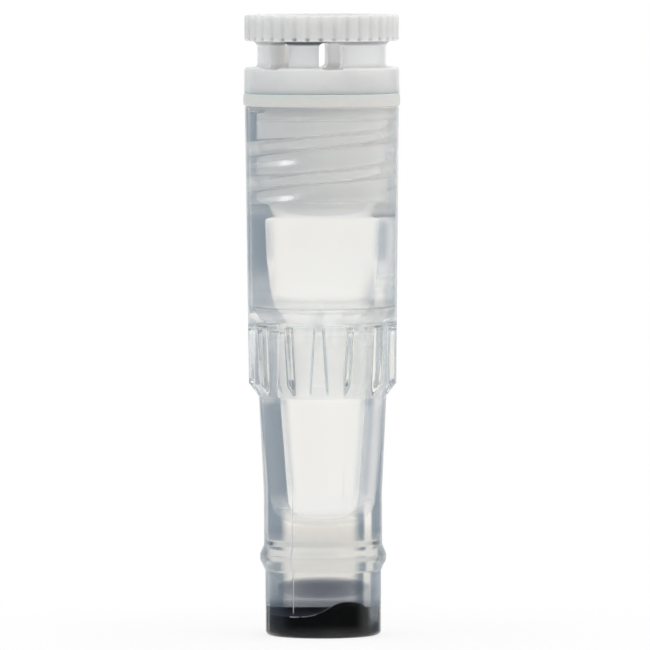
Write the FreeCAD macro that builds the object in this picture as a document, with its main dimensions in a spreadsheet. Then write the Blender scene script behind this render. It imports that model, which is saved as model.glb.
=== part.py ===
import FreeCAD, Part
import math
import os
import re

import Sketcher

# A small screw-capped storage vial for a 96-position rack: a clear tube with a solid foot,
# a dark code base moulded into the foot, a hollow threaded cap and the sealing ring under
# its flange. The origin is the centre of the foot's underside, +Z is up and -Y is the front.

sizes = {
    # tube outside: radii step inwards from the rim, heights count up from the foot
    "tube_height": 29.35,
    "rim_radius": 4.26,
    "rim_round": 0.12,
    "body_draft": 0.18,
    "collar_height": 13.28,
    "collar_bevel": 0.72,
    "rib_depth": 0.55,
    "stem_taper": 0.26,
    "stem_taper_start": 7.9,
    "bead_height": 4.42,
    "bead_rise": 0.2,
    "bead_below": 0.79,
    "bead_above": 0.63,
    "bead_round": 0.5,
    "bead_crown": 0.15,
    "skirt_step": 0.07,
    "foot_round": 0.28,
    # tube bore: the plug above it, then headroom, shoulder and well
    "mouth_wall": 0.66,
    "mouth_flare": 0.15,
    "mouth_depth": 0.35,
    "land_step": 0.425,
    "land_lead": 0.3,
    "bore_taper": 0.085,
    "headroom": 3.0,
    "shoulder_drop": 2.1,
    "shoulder_step": 0.63,
    "shoulder_arc": 4.0,
    # lower well, with heights above the foot
    "well_mid_step": 0.1,
    "well_mid_height": 12.95,
    "well_arc": 72.0,
    "well_low_step": 0.43,
    "well_low_height": 6.75,
    "well_dome": 3.31,
    # the grip pockets round the collar
    "pocket_count": 12,
    "pocket_phase": 12.0,
    "pocket_ledge": 0.02,
    "pocket_height": 3.33,
    "pocket_width": 1.42,
    "pocket_foot_width": 0.88,
    "pocket_round": 0.25,
    # code base
    "skirt_wall": 0.54,
    "code_top": 1.6,
    "code_setback": 0.1,
    # screw thread, shared by tube and cap
    "thread_pitch": 1.95,
    "thread_clearance": 0.1,
    "ridge_root": 0.84,
    "ridge_crest": 0.44,
    "ridge_height": 0.3,
    "ridge_sink": 0.08,
    "ridge_mesh": 0.77,
    "cap_ridge_phase": -100.0,
    "cap_ridge_lead": 0.97,
    "cap_ridge_gap": 1.035,
    "tube_ridge_lead": 0.67,
    "tube_ridge_gap": 0.34,
    # cap plug
    "plug_length": 6.15,
    "plug_wall": 0.8,
    "tip_clearance": 0.075,
    "tip_inset": 0.4,
    "tip_bevel": 0.55,
    "tip_lead": 0.25,
    "guide_height": 0.55,
    "guide_clearance": 0.12,
    # cap outside
    "flange_overhang": 0.04,
    "flange_height": 1.45,
    "neck_depth": 0.73,
    "neck_height": 1.45,
    "neck_top_round": 0.35,
    "neck_foot_round": 0.18,
    "head_overhang": 0.02,
    "head_height": 1.45,
    "head_round": 0.14,
    "socket_floor": 0.9,
    "socket_lead": 0.3,
    "knurl_count": 36,
    "knurl_phase": 9.4,
    "knurl_depth": 0.11,
    "knurl_width": 0.5,
    "window_width": 1.37,
    "window_height": 1.49,
    "window_sink": 0.1,
    "window_round": 0.28,
    "window_pairs": 2,
    "window_phase": -41.5,
    "window_step": 50.0,
    # sealing ring
    "seal_overhang": 0.09,
    "seal_height": 0.7,
    "seal_round": 0.12,
    "seal_clearance": 0.04,
}

# what follows from the sheet, as expressions of its aliases and of each other
derived = {
    # tube outside
    "collar_radius": "rim_radius - body_draft",
    "stem_top_radius": "collar_radius - rib_depth",
    "stem_radius": "stem_top_radius - stem_taper",
    "bead_radius": "stem_radius + bead_rise",
    "bead_flank": "bead_radius - bead_round + (bead_round ^ 2 - bead_crown ^ 2) ^ 0.5",
    "skirt_radius": "stem_radius - skirt_step",
    "bevel_top": "collar_height + collar_bevel",
    "pocket_floor": "stem_top_radius + pocket_ledge",
    "pocket_foot": "collar_height - rib_depth + pocket_ledge",
    "pocket_top": "bevel_top + pocket_height",
    "pocket_side": "pocket_width / 2",
    "pocket_foot_side": "pocket_foot_width / 2",
    # tube bore: its thread ends where the plug's tip begins
    "thread_bore": "rim_radius - mouth_wall",
    "mouth_radius": "thread_bore + mouth_flare",
    "land_radius": "thread_bore - land_step",
    "bore_radius": "land_radius - bore_taper",
    "thread_end": "tip_top + tip_lead",
    "shoulder": "plug_tip - headroom",
    "well_top_radius": "bore_radius - shoulder_step",
    "well_mid_radius": "well_top_radius - well_mid_step",
    "well_low_radius": "well_mid_radius - well_low_step",
    "well_floor": "well_low_height - well_dome + (well_dome ^ 2 - well_low_radius ^ 2) ^ 0.5",
    "code_radius": "skirt_radius - skirt_wall",
    # cap plug: its root clears the tube's ridge, its guide and its tip clear the bore
    "plug_root": "thread_bore - ridge_height - thread_clearance",
    "plug_tip": "tube_height - plug_length",
    "tip_radius": "land_radius - tip_clearance",
    "tip_top": "plug_tip + tip_bevel",
    "guide_radius": "thread_bore - guide_clearance",
    "guide_foot": "tube_height - guide_height",
    "guide_start": "guide_foot - guide_radius + plug_root",
    "socket_radius": "plug_root - plug_wall",
    "socket_bottom": "plug_tip + socket_floor",
    # the two ridges: the tube's lies above the cap's by ridge_mesh, at any azimuth
    "cap_ridge_foot": "plug_tip + cap_ridge_lead",
    "cap_ridge_top": "guide_start - cap_ridge_gap",
    "tube_ridge_foot": "thread_end + tube_ridge_lead",
    "tube_ridge_top": "guide_start - tube_ridge_gap",
    "ridge_advance": "(tube_ridge_foot - cap_ridge_foot - ridge_mesh) / thread_pitch",
    "tube_ridge_phase": "cap_ridge_phase + 360 * ridge_advance",
    # cap outside, stacked on the seal
    "seal_bore": "guide_radius + seal_clearance",
    "seal_radius": "rim_radius + seal_overhang",
    "flange_foot": "tube_height + seal_height",
    "flange_radius": "rim_radius + flange_overhang",
    "flange_top": "flange_foot + flange_height",
    "neck_radius": "flange_radius - neck_depth",
    "head_foot": "flange_top + neck_height",
    "head_radius": "rim_radius + head_overhang",
    "crown": "head_foot + head_height",
    "window_foot": "flange_top - window_sink",
    "window_head": "window_foot + window_height",
    "window_side": "window_width / 2",
}

doc = FreeCAD.newDocument("storage_vial")
sheet = doc.addObject("Spreadsheet::Sheet", "dims")
for row, (alias, value) in enumerate(sizes.items(), start=1):
    sheet.set(f"A{row}", alias)
    sheet.set(f"B{row}", str(value))
    sheet.setAlias(f"B{row}", alias)
doc.recompute()


def bound(expression):
    """The expression in the sheet's own aliases, with each derived name written out."""
    def spell(word):
        if word[0] in derived:
            return f"({bound(derived[word[0]])})"
        return f"dims.{word[0]}" if word[0] in sizes else word[0]
    return re.sub("[a-z_]+", spell, expression)


def number(expression):
    """The value of an expression in the sheet's aliases."""
    value = sheet.evalExpression(bound(expression))
    return float(getattr(value, "Value", value))


def bind(owner, place, expression):
    owner.setExpression(place, bound(expression))


def new_body(label):
    body = doc.addObject("PartDesign::Body", label)
    body.Label = label
    return body


def plane(body, role):
    return next(item for item in body.Origin.OriginFeatures if item.Role == role)


def attach(body, name, role):
    """A sketch on one of the body's own planes."""
    sketch = body.newObject("Sketcher::SketchObject", name)
    sketch.AttachmentSupport = [(plane(body, role), "")]
    sketch.MapMode = "FlatFace"
    return sketch


def attach_upright(body, name, azimuth, lift="0"):
    """A sketch on an upright plane that faces an azimuth, counted from the front towards +X,
    and stands off the axis by lift."""
    sketch = attach(body, name, "XZ_Plane")
    about_z = FreeCAD.Rotation(FreeCAD.Vector(0, 1, 0), number(azimuth))
    sketch.AttachmentOffset = FreeCAD.Placement(FreeCAD.Vector(), about_z)
    bind(sketch, "AttachmentOffset.Rotation.Angle", azimuth)
    bind(sketch, "AttachmentOffset.Base.x", f"({lift}) * sin({azimuth})")
    bind(sketch, "AttachmentOffset.Base.z", f"({lift}) * cos({azimuth})")
    return sketch


def attach_level(body, name, azimuth, height):
    """A sketch on a level plane at a height, its X axis pointing at an azimuth."""
    sketch = attach(body, name, "XY_Plane")
    about_z = FreeCAD.Rotation(FreeCAD.Vector(0, 0, 1), number(f"{azimuth} - 90"))
    sketch.AttachmentOffset = FreeCAD.Placement(FreeCAD.Vector(), about_z)
    bind(sketch, "AttachmentOffset.Rotation.Angle", f"{azimuth} - 90")
    bind(sketch, "AttachmentOffset.Base.z", height)
    return sketch


def arc_between(start, end, radius):
    """An arc from start to end: counter-clockwise for a positive radius, clockwise otherwise."""
    if radius < 0:
        start, end = end, start
    radius = abs(radius)
    chord = end - start
    height = math.sqrt(max(radius**2 - (chord.Length / 2) ** 2, 0.0))
    side = FreeCAD.Vector(-chord.y, chord.x, 0).normalize()
    centre = (start + end) / 2 + side * height
    first = math.atan2(start.y - centre.y, start.x - centre.x)
    last = math.atan2(end.y - centre.y, end.x - centre.x)
    circle = Part.Circle(centre, FreeCAD.Vector(0, 0, 1), radius)
    return Part.ArcOfCircle(circle, first, last if last > first else last + 2 * math.pi)


def outline(sketch, corners):
    """A closed outline. A corner is (x, y) or (x, y, radius): with a radius, the stretch that
    leaves the corner is an arc, counter-clockwise if positive. Each is an expression."""
    spots = [FreeCAD.Vector(number(c[0]), number(c[1]), 0) for c in corners]
    starts, ends = [], []
    for index, corner in enumerate(corners):
        start, end = spots[index], spots[(index + 1) % len(spots)]
        if len(corner) == 2:
            piece = sketch.addGeometry(Part.LineSegment(start, end), False)
            starts.append((piece, 1))
            ends.append((piece, 2))
        else:
            radius = number(corner[2])
            piece = sketch.addGeometry(arc_between(start, end, radius), False)
            starts.append((piece, 1 if radius > 0 else 2))
            ends.append((piece, 2 if radius > 0 else 1))
    for index, corner in enumerate(corners):
        sketch.addConstraint(Sketcher.Constraint("Coincident", *ends[index - 1], *starts[index]))
        for kind, other_axis, expression in (("DistanceX", -2, corner[0]), ("DistanceY", -1, corner[1])):
            value = number(expression)
            if expression == "0":
                rule = Sketcher.Constraint("PointOnObject", *starts[index], other_axis)
                sketch.addConstraint(rule)
            else:
                rule = Sketcher.Constraint(kind, -1, 1, *starts[index], value)
                bind(sketch, f"Constraints[{sketch.addConstraint(rule)}]", expression)
        if len(corner) == 3:
            radius = corner[2].lstrip("-")
            rule = Sketcher.Constraint("Radius", starts[index][0], number(radius))
            bind(sketch, f"Constraints[{sketch.addConstraint(rule)}]", radius)
    return sketch


def revolve(body, name, sketch):
    turned = body.newObject("PartDesign::Revolution", name)
    turned.Profile = sketch
    turned.ReferenceAxis = (sketch, ["V_Axis"])
    turned.Angle = 360.0
    doc.recompute()
    return turned


def cut(body, name, sketch, length, outward=False, both_ways=False):
    """A pocket into the solid, against the sketch's normal unless outward, and proof that it cut."""
    before = body.Shape.Volume
    pocket = body.newObject("PartDesign::Pocket", name)
    pocket.Profile = sketch
    pocket.Type = "Length"
    pocket.Reversed = outward
    pocket.Midplane = both_ways
    bind(pocket, "Length", length)
    doc.recompute()
    if not body.Shape.Volume < before - 1e-6:
        raise RuntimeError(f"{name} cuts nothing")
    return pocket


def repeat(body, name, feature, count, angle):
    """The feature repeated round Z over an angle, with its end copies at the two ends of any
    angle under a full turn."""
    before = body.Shape.Volume
    pattern = body.newObject("PartDesign::PolarPattern", name)
    pattern.Originals = [feature]
    pattern.Axis = (plane(body, "Z_Axis"), [""])
    bind(pattern, "Angle", angle)
    bind(pattern, "Occurrences", count)
    body.Tip = pattern
    doc.recompute()
    if not body.Shape.Volume < before - 1e-6:
        raise RuntimeError(f"{name} cuts nothing")


def ridge(body, name, foot, top, azimuth, root, outward):
    """One thread ridge: a flat-topped tooth wound up the wall from a foot at an azimuth."""
    before = body.Shape.Volume
    inwards, outwards = ("-", "+") if outward else ("+", "-")
    sunk = f"{root} {inwards} ridge_sink"
    crest = f"{root} {outwards} ridge_height"
    half_sunk = "(ridge_root / 2 + (ridge_root - ridge_crest) / 2 * ridge_sink / ridge_height)"
    corners = [
        (sunk, f"{foot} - {half_sunk}"),
        (crest, f"{foot} - ridge_crest / 2"),
        (crest, f"{foot} + ridge_crest / 2"),
        (sunk, f"{foot} + {half_sunk}"),
    ]
    profile = attach_upright(body, f"{name}_profile", f"{azimuth} - 90")
    outline(profile, corners if outward else corners[::-1])
    wound = body.newObject("PartDesign::AdditiveHelix", name)
    wound.Profile = profile
    wound.ReferenceAxis = (profile, ["V_Axis"])
    wound.Mode = "pitch-turns-angle"
    bind(wound, "Pitch", "thread_pitch")
    bind(wound, "Turns", f"({top} - {foot}) / thread_pitch")
    wound.Angle = 0.0
    doc.recompute()
    if not body.Shape.Volume > before + 1e-6:
        raise RuntimeError(f"{name} adds nothing")


def make_tube():
    body = new_body("tube")
    section = attach(body, "tube_section", "XZ_Plane")
    outline(section, [
        # under the foot, then up the outside
        ("code_radius", "0"),
        ("skirt_radius - foot_round", "0", "foot_round"),
        ("skirt_radius", "foot_round"),
        ("skirt_radius", "bead_height - bead_below"),
        ("bead_flank", "bead_height - bead_crown", "bead_round"),
        ("bead_flank", "bead_height + bead_crown"),
        ("stem_radius", "bead_height + bead_above"),
        ("stem_radius", "stem_taper_start"),
        ("stem_top_radius", "collar_height"),
        ("collar_radius", "bevel_top"),
        ("rim_radius", "tube_height - rim_round", "rim_round"),
        ("rim_radius - rim_round", "tube_height"),
        # down the bore to the shoulder, and down the well to its domed floor
        ("mouth_radius", "tube_height"),
        ("thread_bore", "tube_height - mouth_depth"),
        ("thread_bore", "thread_end"),
        ("land_radius", "thread_end - land_lead"),
        ("bore_radius", "shoulder", "-shoulder_arc"),
        ("well_top_radius", "shoulder - shoulder_drop"),
        ("well_mid_radius", "well_mid_height", "-well_arc"),
        ("well_low_radius", "well_low_height", "-well_dome"),
        ("0", "well_floor"),
        # the solid foot, and the recess that the code base fills
        ("0", "code_top"),
        ("code_radius", "code_top"),
    ])
    revolve(body, "tube_wall", section)
    ridge(body, "tube_thread", "tube_ridge_foot", "tube_ridge_top", "tube_ridge_phase",
          "thread_bore", outward=False)
    # one grip pocket, cut from its flat floor outwards and open below
    face = attach_upright(body, "pocket_face", "pocket_phase", "pocket_floor")
    outline(face, [
        ("-pocket_foot_side", "pocket_foot"),
        ("pocket_foot_side", "pocket_foot"),
        ("pocket_side", "pocket_top - pocket_round", "pocket_round"),
        ("pocket_side - pocket_round", "pocket_top"),
        ("-pocket_side + pocket_round", "pocket_top", "pocket_round"),
        ("-pocket_side", "pocket_top - pocket_round"),
    ])
    pocket = cut(body, "grip_pocket", face, "rim_radius", outward=True)
    repeat(body, "grip_pockets", pocket, "pocket_count", "360")
    return body


def make_code_base():
    body = new_body("code_base")
    section = attach(body, "code_section", "XZ_Plane")
    outline(section, [
        ("0", "code_setback"),
        ("code_radius", "code_setback"),
        ("code_radius", "code_top"),
        ("0", "code_top"),
    ])
    revolve(body, "code_disc", section)
    return body


def make_seal_ring():
    body = new_body("seal_ring")
    section = attach(body, "seal_section", "XZ_Plane")
    outline(section, [
        ("seal_bore", "tube_height"),
        ("seal_radius - seal_round", "tube_height", "seal_round"),
        ("seal_radius", "tube_height + seal_round"),
        ("seal_radius", "flange_foot - seal_round", "seal_round"),
        ("seal_radius - seal_round", "flange_foot"),
        ("seal_bore", "flange_foot"),
    ])
    revolve(body, "seal_band", section)
    return body


def make_screw_cap():
    body = new_body("screw_cap")
    section = attach(body, "cap_section", "XZ_Plane")
    outline(section, [
        # under the plug, then up the outside
        ("0", "plug_tip"),
        ("tip_radius - tip_inset", "plug_tip"),
        ("tip_radius", "tip_top"),
        ("plug_root", "tip_top + tip_lead"),
        ("plug_root", "guide_start"),
        ("guide_radius", "guide_foot"),
        ("guide_radius", "flange_foot"),
        ("flange_radius", "flange_foot"),
        ("flange_radius", "flange_top - head_round", "head_round"),
        ("flange_radius - head_round", "flange_top"),
        ("neck_radius + neck_foot_round", "flange_top", "-neck_foot_round"),
        ("neck_radius", "flange_top + neck_foot_round"),
        ("neck_radius", "head_foot - neck_top_round", "-neck_top_round"),
        ("neck_radius + neck_top_round", "head_foot"),
        ("head_radius - head_round", "head_foot", "head_round"),
        ("head_radius", "head_foot + head_round"),
        ("head_radius", "crown - head_round", "head_round"),
        ("head_radius - head_round", "crown"),
        # down the socket
        ("socket_radius + socket_lead", "crown"),
        ("socket_radius", "crown - socket_lead"),
        ("socket_radius", "socket_bottom"),
        ("0", "socket_bottom"),
    ])
    revolve(body, "cap_wall", section)
    ridge(body, "cap_thread", "cap_ridge_foot", "cap_ridge_top", "cap_ridge_phase",
          "plug_root", outward=True)
    # each cut makes a facing pair of windows through the neck
    face = attach_upright(body, "window_face", "window_phase")
    outline(face, [
        ("-window_side + window_round", "window_foot"),
        ("window_side - window_round", "window_foot", "window_round"),
        ("window_side", "window_foot + window_round"),
        ("window_side", "window_head - window_round", "window_round"),
        ("window_side - window_round", "window_head"),
        ("-window_side + window_round", "window_head", "window_round"),
        ("-window_side", "window_head - window_round"),
        ("-window_side", "window_foot + window_round", "window_round"),
    ])
    pair = cut(body, "window_pair", face, "2 * (neck_radius + neck_foot_round)", both_ways=True)
    repeat(body, "windows", pair, "window_pairs", "window_step * (window_pairs - 1)")
    # the knurl: V-cuts down the head
    notch = attach_level(body, "knurl_notch", "knurl_phase", "crown")
    outline(notch, [
        ("head_radius - knurl_depth", "0"),
        ("head_radius + knurl_depth", "-knurl_width"),
        ("head_radius + knurl_depth", "knurl_width"),
    ])
    groove = cut(body, "knurl_groove", notch, "head_height")
    repeat(body, "knurl", groove, "knurl_count", "360")
    return body


bodies = [make_tube(), make_code_base(), make_seal_ring(), make_screw_cap()]
doc.recompute()

for item in doc.Objects:
    if {"Invalid", "Error"} & set(item.State):
        raise RuntimeError(f"{item.Label} failed: {item.State}")
for body in bodies:
    shape = body.Shape
    if shape.isNull() or not shape.isValid() or len(shape.Solids) != 1:
        raise RuntimeError(f"{body.Label} isn't one valid solid")
os.makedirs("parts", exist_ok=True)
for body in bodies:
    print(body.Label, round(body.Shape.Volume, 3), "mm3")
    body.Shape.exportStep(f"parts/{body.Label}.step")
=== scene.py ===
from math import cos, pi, radians, sin, sqrt

import bpy
import numpy as np
from mathutils import Matrix, Vector


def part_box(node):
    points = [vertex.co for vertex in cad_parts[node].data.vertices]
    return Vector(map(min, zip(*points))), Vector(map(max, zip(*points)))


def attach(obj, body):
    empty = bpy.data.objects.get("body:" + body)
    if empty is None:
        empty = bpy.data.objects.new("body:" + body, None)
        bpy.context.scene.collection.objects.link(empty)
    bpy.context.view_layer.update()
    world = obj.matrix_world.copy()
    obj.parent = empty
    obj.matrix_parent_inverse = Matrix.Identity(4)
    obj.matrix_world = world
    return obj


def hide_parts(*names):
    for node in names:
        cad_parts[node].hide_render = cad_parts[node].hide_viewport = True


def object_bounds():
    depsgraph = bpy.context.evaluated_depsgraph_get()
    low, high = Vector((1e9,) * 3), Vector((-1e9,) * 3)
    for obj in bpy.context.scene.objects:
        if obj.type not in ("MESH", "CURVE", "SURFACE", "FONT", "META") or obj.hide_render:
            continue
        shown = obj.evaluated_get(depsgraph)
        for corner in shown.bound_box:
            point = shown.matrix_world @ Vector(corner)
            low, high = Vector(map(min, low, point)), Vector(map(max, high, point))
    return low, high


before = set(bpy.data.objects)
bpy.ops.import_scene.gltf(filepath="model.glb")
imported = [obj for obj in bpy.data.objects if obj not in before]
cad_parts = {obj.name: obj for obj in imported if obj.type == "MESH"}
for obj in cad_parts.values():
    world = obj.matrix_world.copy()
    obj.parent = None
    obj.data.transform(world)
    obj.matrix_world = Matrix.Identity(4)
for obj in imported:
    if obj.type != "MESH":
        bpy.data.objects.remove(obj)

# A screw-capped storage vial. The shapes are in millimetres and become metres in the meshes, and
# what the materials read of a mesh is in metres. Azimuth is counted in degrees from the front, -Y,
# towards +X, and heights from the foot.

mm = 0.001
cadLow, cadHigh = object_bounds()
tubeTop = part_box("tube")[1].z / mm
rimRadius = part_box("tube")[1].x / mm
sealLow, sealHigh = (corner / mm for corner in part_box("seal_ring"))
capLow, capHigh = (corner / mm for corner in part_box("screw_cap"))


def roundedPath(corners):
    # Runs through corners (radius, height, round, step). Each inner corner becomes an arc of its
    # round, tangent to both sides and with a point about every 11 degrees, and the stretch that
    # leaves it is cut every step.
    spots = np.array([c[:2] for c in corners], float)
    starts, ends, arcs = [spots[0]], [], [np.empty((0, 2))]
    for i in range(1, len(spots) - 1):
        back, ahead = spots[i - 1] - spots[i], spots[i + 1] - spots[i]
        back, ahead = back / np.hypot(*back), ahead / np.hypot(*ahead)
        half = np.arccos(np.clip(back @ ahead, -1, 1)) / 2
        reach = corners[i][2] / np.tan(half)
        middle = spots[i] + (back + ahead) / np.hypot(*(back + ahead)) * corners[i][2] / np.sin(half)
        ends.append(spots[i] + back * reach)
        starts.append(spots[i] + ahead * reach)
        a, b = ends[-1] - middle, starts[-1] - middle
        sweep = pi - 2 * half
        turn = np.linspace(0, 1, max(3, int(sweep / radians(11)) + 2))[:, None]
        arcs.append(middle + (a * np.sin((1 - turn) * sweep) + b * np.sin(turn * sweep)) / np.sin(sweep))
    ends.append(spots[-1])
    path = []
    for i, (start, end) in enumerate(zip(starts, ends)):
        cuts = max(1, round(np.hypot(*(end - start)) / corners[i][3]))
        path += [arcs[i], start + (end - start) * np.linspace(0, 1, cuts + 1)[1:-1, None]]
    return np.vstack([spots[:1], *path, spots[-1:]])


def inRound(azimuth, radius, height):
    # x = r sin a, y = -r cos a, z = h
    azimuth, radius, height = np.broadcast_arrays(azimuth, radius, height)
    return np.stack([radius * np.sin(azimuth), -radius * np.cos(azimuth), height], -1)


def meshFrom(name, spots, faces, smooth=True):
    # faces: arrays of vertex numbers, one array for each count of corners
    mesh = bpy.data.meshes.new(name)
    mesh.vertices.add(len(spots))
    mesh.vertices.foreach_set("co", (spots * mm).astype(np.float32).ravel())
    corners = np.concatenate([f.ravel() for f in faces]).astype(np.int32)
    counts = np.concatenate([np.full(len(f), f.shape[1]) for f in faces]).astype(np.int32)
    mesh.loops.add(len(corners))
    mesh.loops.foreach_set("vertex_index", corners)
    mesh.polygons.add(len(counts))
    mesh.polygons.foreach_set("loop_start", np.concatenate([[0], np.cumsum(counts)[:-1]]))
    mesh.polygons.foreach_set("use_smooth", np.full(len(counts), smooth))
    mesh.update(calc_edges=True)
    mesh.validate()
    piece = bpy.data.objects.new(name, mesh)
    bpy.context.scene.collection.objects.link(piece)
    return piece


def turned(name, spots, marks=None):
    # spots[row, column] runs round the axis, with its first and last rows drawn in to a pole each,
    # or, where those rows stay wide, joined to each other as a ring. Marks are values by row.
    rows, columns = spots.shape[:2]
    number = np.arange(rows * columns).reshape(rows, columns)
    ring = np.ptp(spots[0, :, 0]) > 1e-6
    body = np.vstack([number, number[:1]]) if ring else number[1:-1]
    beside = np.roll(body, -1, 1)
    quads = np.stack([body[:-1], beside[:-1], beside[1:], body[1:]], -1).reshape(-1, 4)
    if ring:
        return meshFrom(name, spots.reshape(-1, 3), [quads])
    low = np.stack([body[0] * 0 + number[0, 0], beside[0], body[0]], -1)
    high = np.stack([body[-1] * 0 + number[-1, 0], body[-1], beside[-1]], -1)
    kept = np.unique(np.concatenate([quads.ravel(), low.ravel(), high.ravel()]))
    place = np.zeros(rows * columns, int)
    place[kept] = np.arange(len(kept))
    piece = meshFrom(name, spots.reshape(-1, 3)[kept], [place[quads], place[np.vstack([low, high])]])
    for mark, values in (marks or {}).items():
        layer = piece.data.attributes.new(mark, "FLOAT", "POINT")
        layer.data.foreach_set("value", np.repeat(values, columns)[kept].astype(np.float32))
    return piece


def easeStep(value, low, high):
    # 0 below low, 1 above high, and 3t^2 - 2t^3 between
    share = np.clip((value - low) / (high - low), 0, 1)
    return share * share * (3 - 2 * share)


def threadRidge(azimuth, height, thread):
    # A tooth wound up the wall. In turns from its foot, a point lies nearest to winding k, and the
    # tooth stands full within its crest and falls off to its root, dying out at both ends.
    turnsUp = (height - thread["foot"]) / thread["pitch"]
    around = ((azimuth - radians(thread["phase"])) / (2 * pi)) % 1
    winding = np.round(turnsUp - around)
    along = winding + around
    length = (thread["top"] - thread["foot"]) / thread["pitch"]
    offset = np.abs(turnsUp - along) * thread["pitch"]
    tooth = 1 - easeStep(offset, thread["crest"] / 2, thread["root"] / 2)
    runOut = thread["runOut"]
    ends = easeStep(along, -runOut, runOut) * (1 - easeStep(along, length - runOut, length + runOut))
    return thread["rise"] * tooth * ends


class Wire:
    # One output of a node. Sums, products and the like of wires and numbers add Math nodes.
    def __init__(self, tree, socket):
        self.tree, self.socket = tree, socket

    def maths(self, operation, *others):
        return self.tree.add("ShaderNodeMath", {"operation": operation}, dict(enumerate((self, *others))))

    def __add__(self, other):
        return self.maths("ADD", other)

    def __sub__(self, other):
        return self.maths("SUBTRACT", other)

    def __mul__(self, other):
        return self.maths("MULTIPLY", other)

    def __truediv__(self, other):
        return self.maths("DIVIDE", other)

    def __pow__(self, other):
        return self.maths("POWER", other)

    def __rsub__(self, other):
        return self.tree.add("ShaderNodeMath", {"operation": "SUBTRACT"}, {0: other, 1: self})

    __radd__, __rmul__ = __add__, __mul__

    def ease(self, low, high, start=0.0, end=1.0):
        # smooth step from start to end as this wire goes from low to high
        settings = {"interpolation_type": "SMOOTHSTEP"}
        sockets = {"Value": self, "From Min": low, "From Max": high, "To Min": start, "To Max": end}
        return self.tree.add("ShaderNodeMapRange", settings, sockets)

    def zone(self, rise, fall, level=1.0):
        # eases up over the span rise and back to 0 over the span fall
        return self.ease(*rise) * self.ease(*fall, level, 0.0)


class Tree:
    def __init__(self, owner):
        owner.use_nodes = True
        self.nodes, self.links = owner.node_tree.nodes, owner.node_tree.links
        self.nodes.clear()

    def add(self, kind, settings=None, sockets=None, out=0):
        # any node: its settings come first, then the values or links of its sockets
        node = self.nodes.new(kind)
        for name, value in (settings or {}).items():
            setattr(node, name, value)
        for name, value in (sockets or {}).items():
            if isinstance(value, Wire):
                self.links.new(value.socket, node.inputs[name])
            else:
                node.inputs[name].default_value = value
        return Wire(self, node.outputs[out]) if node.outputs else node

    def blend(self, share, first, second):
        # a colour between two
        return self.add("ShaderNodeMix", {"data_type": "RGBA"}, {0: share, 6: first, 7: second}, out=2)

    def mixed(self, share, first, second):
        # a surface between two
        return self.add("ShaderNodeMixShader", {}, {0: share, 1: first, 2: second})

    def noise(self, place, scale, detail):
        return self.add("ShaderNodeTexNoise", {}, {"Vector": place, "Scale": scale, "Detail": detail})

    def bumps(self, height, strength, distance):
        sockets = {"Strength": strength, "Distance": distance, "Height": height}
        return self.add("ShaderNodeBump", {}, sockets)

    def axes(self, place):
        # x, y and z of a vector, as three wires
        split = self.add("ShaderNodeSeparateXYZ", {}, {0: place}).socket.node
        return [Wire(self, socket) for socket in split.outputs]


def newMaterial(name):
    material = bpy.data.materials.new(name)
    return material, Tree(material)


def grey(level):
    return (level, level, level, 1.0)


def across(x, y):
    # distance from the axis
    return (x * x + y * y).maths("SQRT")


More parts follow.
